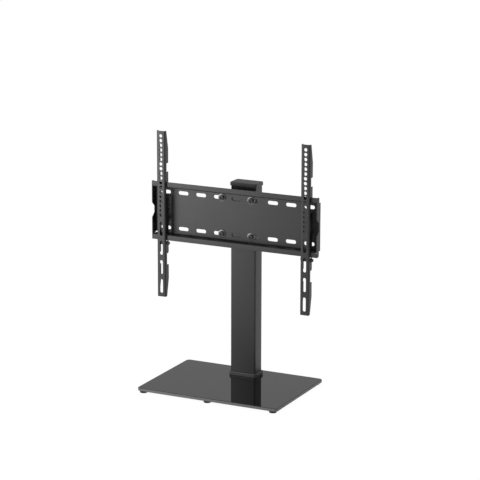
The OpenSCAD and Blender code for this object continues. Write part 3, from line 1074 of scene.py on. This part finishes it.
class Palette:
    """One material for each slot of the record, and two more.

    The plate's washers, whose material paints a highlight on their rims, and the ground edge of the glass
    have a material of their own.
    """

    FINISHES: dict[str, Finish] = {
        "black_steel": POWDER_COAT, "black_screw": SCREW_BLACK, "black_plastic": MOULDED_BLACK,
        "rubber": FOOT_RUBBER, "zinc": ZINC_PLATE, "nylon": NYLON_BUSH,
    }

    def __init__(self) -> None:
        """Builds the materials and notes each node's slot."""
        grain = build_grain_group()
        edge = build_edge_group()
        self.materials = {slot: finish.material(grain, edge) for slot, finish in self.FINISHES.items()}
        self.materials["black_glass"] = GlassFinish().material()
        # The plate's washers get the plating with a painted rim highlight.
        self.special = {"plate_washers": WASHER_PAINTED_RIM_HIGHLIGHT.material(grain, edge)}
        self.ground_edge = GROUND_EDGE.material(grain, edge)
        self.slots = {name: node.material_slots[0].material.name for name, node in frame["nodes"].items()}

    def dress_nodes(self) -> None:
        """Gives every CAD node the material of its slot."""
        for name, node in frame["nodes"].items():
            for place in node.material_slots:
                place.material = self.special.get(name, self.materials[self.slots[name]])
            LOG.info("dressed %s in %s", name, self.slots[name])

    def hand_over(self, piece: bpy.types.Object, node: str, replaces: bool = True) -> None:
        """Gives a finished piece the material of a node's slot and the node's body.

        Args:
            piece: The finished piece, at the origin.
            node: CAD node that it belongs to.
            replaces: Whether it stands for the node or is added to it.
        """
        piece.data.materials.clear()
        piece.data.materials.append(self.special.get(node, self.materials[self.slots[node]]))
        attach(piece, frame["nodes"][node]["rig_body"])
        if replaces:
            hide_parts(node)
        LOG.info("made %s with %d faces", piece.name, len(piece.data.polygons))

    def set_out(self, pattern: bpy.types.Object, node: str, places: list[Vector], outwards: Vector) -> None:
        """Puts one copy of a pattern at each place and uses the pattern up.

        Args:
            pattern: The piece as modelled, round Z at the origin.
            node: CAD node that the copies stand for together.
            places: Where the copies' origins go.
            outwards: The direction of their +Z.
        """
        for number, place in enumerate(places, start=1):
            piece = stand_on(copy_to(pattern, f"{node}_{number}"), place, outwards)
            self.hand_over(piece, node)
        bpy.data.objects.remove(pattern)


def centres(node: str, axis: int, radius: float) -> list[Vector]:
    """Centres of the round pieces of a node, read off the corners of its box.

    Args:
        node: Name of the CAD node.
        axis: Index of the axis that the pieces are round about.
        radius: Largest radius of a piece.

    Returns:
        The centres, with zero along the axis.
    """
    low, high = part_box(node)
    found = [Vector((0.0, 0.0, 0.0))]
    for index in range(3):
        if index == axis:
            continue
        ends = (low[index] + radius, high[index] - radius)
        if ends[1] - ends[0] < ONE_ROW * radius:
            ends = ((ends[0] + ends[1]) / 2,)
        step = Vector([float(index == other) for other in range(3)])
        found = [spot + step * end for spot in found for end in ends]
    return found


def shift(places: list[Vector], axis: int, level: float) -> list[Vector]:
    """Moves places along an axis to a level."""
    step = Vector([float(axis == other) for other in range(3)])
    return [place + step * level for place in places]


@dataclass
class GlassBase:
    """Glass plate with its ground edge, its six feet and the screws under it."""

    palette: Palette
    feet: tuple[str, ...] = (
        "front_left", "front_middle", "front_right", "rear_left", "rear_middle", "rear_right",
    )
    edge_round: float = 0.35 * MM
    edge_slope: float = 0.6
    head_radius: float = 5.9 * MM
    head_height: float = 2.8 * MM
    shank_radius: float = 2.95 * MM
    key_radius: float = 2.0 * MM
    thread: float = 9.0 * MM
    pitch: float = 1.0 * MM

    def build(self) -> None:
        """Models the glass, the feet and the screws."""
        self.grind()
        self.set_feet()
        self.screw_on()

    def grind(self) -> None:
        """Rounds the glass's edges and gives its sides the ground look."""
        glass = CoatedPart("base_glass", radius=self.edge_round).build(self.palette)
        glass.data.materials.append(self.palette.ground_edge)
        for face in glass.data.polygons:
            face.material_index = int(abs(face.normal.z) < self.edge_slope)

    def set_feet(self) -> None:
        """Models one foot and puts a copy of it at each place."""
        low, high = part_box("foot_front_left")
        pattern = RubberFoot((high.x - low.x) / 2, high.z - low.z).build("foot_pattern")
        for foot in self.feet:
            node = f"foot_{foot}"
            low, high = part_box(node)
            place = Vector(((low.x + high.x) / 2, (low.y + high.y) / 2, high.z))
            moulded = stand_on(copy_to(pattern, f"{node}_moulded"), place, Vector((0, 0, 1)))
            self.palette.hand_over(moulded, node)
        bpy.data.objects.remove(pattern)

    def screw_on(self) -> None:
        """Models the countersunk screws that come from below."""
        low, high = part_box("base_screws")
        screw = SocketScrew(
            self.head_radius, self.head_height, self.shank_radius, high.z - low.z - self.head_height,
            self.key_radius, head=Head.COUNTERSUNK, thread=self.thread, pitch=self.pitch,
        )
        places = shift(centres("base_screws", 2, self.head_radius), 2, low.z + self.head_height)
        pattern = screw.build("base_screw_pattern")
        self.palette.set_out(pattern, "base_screws", places, Vector((0, 0, -1)))


@dataclass
class Column:
    """Rectangular tube with its collar and cap."""

    palette: Palette
    moulded_round: float = 0.35 * MM

    def build(self) -> None:
        """Rounds the edges of the tube, the cap and the collar."""
        CoatedPart("column_tube").build(self.palette)
        for node in ("column_cap", "foot_collar"):
            CoatedPart(node, radius=self.moulded_round).build(self.palette)


@dataclass
class Carriage:
    """Sleeve, bracket and clamp, with the welds between them."""

    palette: Palette
    head_radius: float = 6.5 * MM
    shank_radius: float = 3.95 * MM
    key_radius: float = 3.4 * MM
    thread: float = 6.0 * MM
    washer_radius: float = 9.0 * MM
    washer_hole: float = 4.2 * MM
    seam_length: float = 46.0 * MM
    stitch_length: float = 26.0 * MM
    stitch_starts: tuple[float, float] = (16 * MM, 58 * MM)

    def build(self) -> None:
        """Models the coated parts, the clamp screws and the welds."""
        for node in ("carriage_sleeve", "spacer_bracket", "bracket_plate"):
            CoatedPart(node).build(self.palette)
        self.clamp()
        self.weld()

    def clamp(self) -> None:
        """Models the two clamp screws and their washers at the back."""
        low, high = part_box("clamp_bolts")
        under, seat = (corner.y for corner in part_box("clamp_washers"))
        spots = centres("clamp_bolts", 1, self.head_radius)
        bolt = SocketScrew(
            self.head_radius, high.y - seat, self.shank_radius, seat - low.y, self.key_radius,
            thread=self.thread,
        )
        washer = FlatWasher(self.washer_radius, self.washer_hole, seat - under)
        for kind, node, level in ((bolt, "clamp_bolts", seat), (washer, "clamp_washers", under)):
            pattern = kind.build(f"{node}_pattern")
            self.palette.set_out(pattern, node, shift(spots, 1, level), Vector((0, 1, 0)))

    def weld(self) -> None:
        """Lays the beads at the sleeve's ends, beside the channel and beside its legs."""
        low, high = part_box("carriage_sleeve")
        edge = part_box("spacer_bracket")[1].x
        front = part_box("bracket_plate")[1].y
        across = WeldBead(self.seam_length).build("bead_across")
        for number, level in enumerate((low.z, high.z), start=1):
            place = Vector((-self.seam_length / 2, low.y, level))
            self.lay(across, f"weld_end_{number}", place, Vector((1, 0, 0)))
        stitch = WeldBead(self.stitch_length).build("bead_stitch")
        for seam, depth in (("sleeve", low.y), ("plate", front)):
            for side in Side:
                for number, start in enumerate(self.stitch_starts, start=1):
                    place = Vector((side.value * edge, depth, low.z + start))
                    self.lay(stitch, f"weld_{seam}_{side.label}_{number}", place, Vector((0, 0, 1)))
        for pattern in (across, stitch):
            bpy.data.objects.remove(pattern)

    def lay(self, pattern: bpy.types.Object, name: str, place: Vector, along: Vector) -> None:
        """Puts one bead on a seam.

        Args:
            pattern: The bead as modelled.
            name: Name of the copy.
            place: Where the seam starts.
            along: Direction of the seam.
        """
        bead = stand_on(copy_to(pattern, name), place, along)
        self.palette.hand_over(bead, "spacer_bracket", replaces=False)


@dataclass
class HangingPlate:
    """Pressed plate with the four screws that hold it."""

    palette: Palette
    head_radius: float = 7.0 * MM
    shank_radius: float = 3.95 * MM
    key_radius: float = 2.9 * MM
    thread: float = 6.0 * MM
    washer_radius: float = 10.0 * MM
    washer_hole: float = 4.2 * MM
    nut_radius: float = 7.5 * MM
    nut_bore: float = 4.0 * MM

    def build(self) -> None:
        """Models the plate, its screws, washers and nuts."""
        CoatedPart("hanging_plate").build(self.palette)
        front, tip = (corner.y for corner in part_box("plate_bolts"))
        seat, panel = (corner.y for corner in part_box("plate_washers"))
        rear, end = (corner.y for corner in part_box("plate_nuts"))
        spots = centres("plate_bolts", 1, self.head_radius)
        bolt = SocketScrew(
            self.head_radius, seat - front, self.shank_radius, tip - seat, self.key_radius,
            thread=self.thread,
        )
        washer = FlatWasher(self.washer_radius, self.washer_hole, panel - seat)
        nut = HexagonNut(self.nut_radius, end - rear, self.nut_bore)
        forwards = Vector((0, -1, 0))
        for kind, node, level, outwards in (
            (bolt, "plate_bolts", seat, forwards),
            (washer, "plate_washers", panel, forwards),
            (nut, "plate_nuts", rear, Vector((0, 1, 0))),
        ):
            pattern = kind.build(f"{node}_pattern")
            self.palette.set_out(pattern, node, shift(spots, 1, level), outwards)


@dataclass
class ScreenArm:
    """Hook-on arm with its safety screw."""

    palette: Palette
    side: Side
    head_radius: float = 4.25 * MM
    shank_radius: float = 2.45 * MM
    key_radius: float = 2.3 * MM
    thread: float = 5.0 * MM
    pitch: float = 0.8 * MM
    sides: int = 36
    chamfer: float = 0.35 * MM
    washer_radius: float = 5.0 * MM
    washer_hole: float = 2.6 * MM
    nut_radius: float = 4.6 * MM
    nut_bore: float = 2.5 * MM
    nut_chamfer: float = 0.5 * MM

    def build(self) -> None:
        """Models the arm, the safety screw, its washer and its nut."""
        name = self.side.label
        CoatedPart(f"{name}_arm").build(self.palette)
        low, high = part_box(f"{name}_safety_screw")
        middle = Vector((0.0, (low.y + high.y) / 2, (low.z + high.z) / 2))
        cheek, seat = (corner.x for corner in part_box(f"{name}_safety_washer"))
        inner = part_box(f"{name}_safety_nut")[1].x
        screw = SocketScrew(
            self.head_radius, high.x - seat, self.shank_radius, seat - low.x, self.key_radius,
            thread=self.thread, pitch=self.pitch, sides=self.sides, chamfer=self.chamfer,
        )
        washer = FlatWasher(self.washer_radius, self.washer_hole, seat - cheek)
        nut = HexagonNut(self.nut_radius, inner - low.x, self.nut_bore, self.nut_chamfer)
        rightwards = Vector((1, 0, 0))
        for kind, part, level, outwards in (
            (screw, "screw", seat, rightwards),
            (washer, "washer", cheek, rightwards),
            (nut, "nut", inner, -rightwards),
        ):
            node = f"{name}_safety_{part}"
            pattern = kind.build(f"safety_{part}_pattern")
            self.palette.set_out(pattern, node, shift([middle], 0, level), outwards)


def main() -> None:
    """Builds the studio and dresses every part."""
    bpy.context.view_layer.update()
    Studio().build()
    palette = Palette()
    palette.dress_nodes()
    GlassBase(palette).build()
    Column(palette).build()
    Carriage(palette).build()
    HangingPlate(palette).build()
    for side in Side:
        ScreenArm(palette, side).build()


if __name__ == "__main__":
    main()
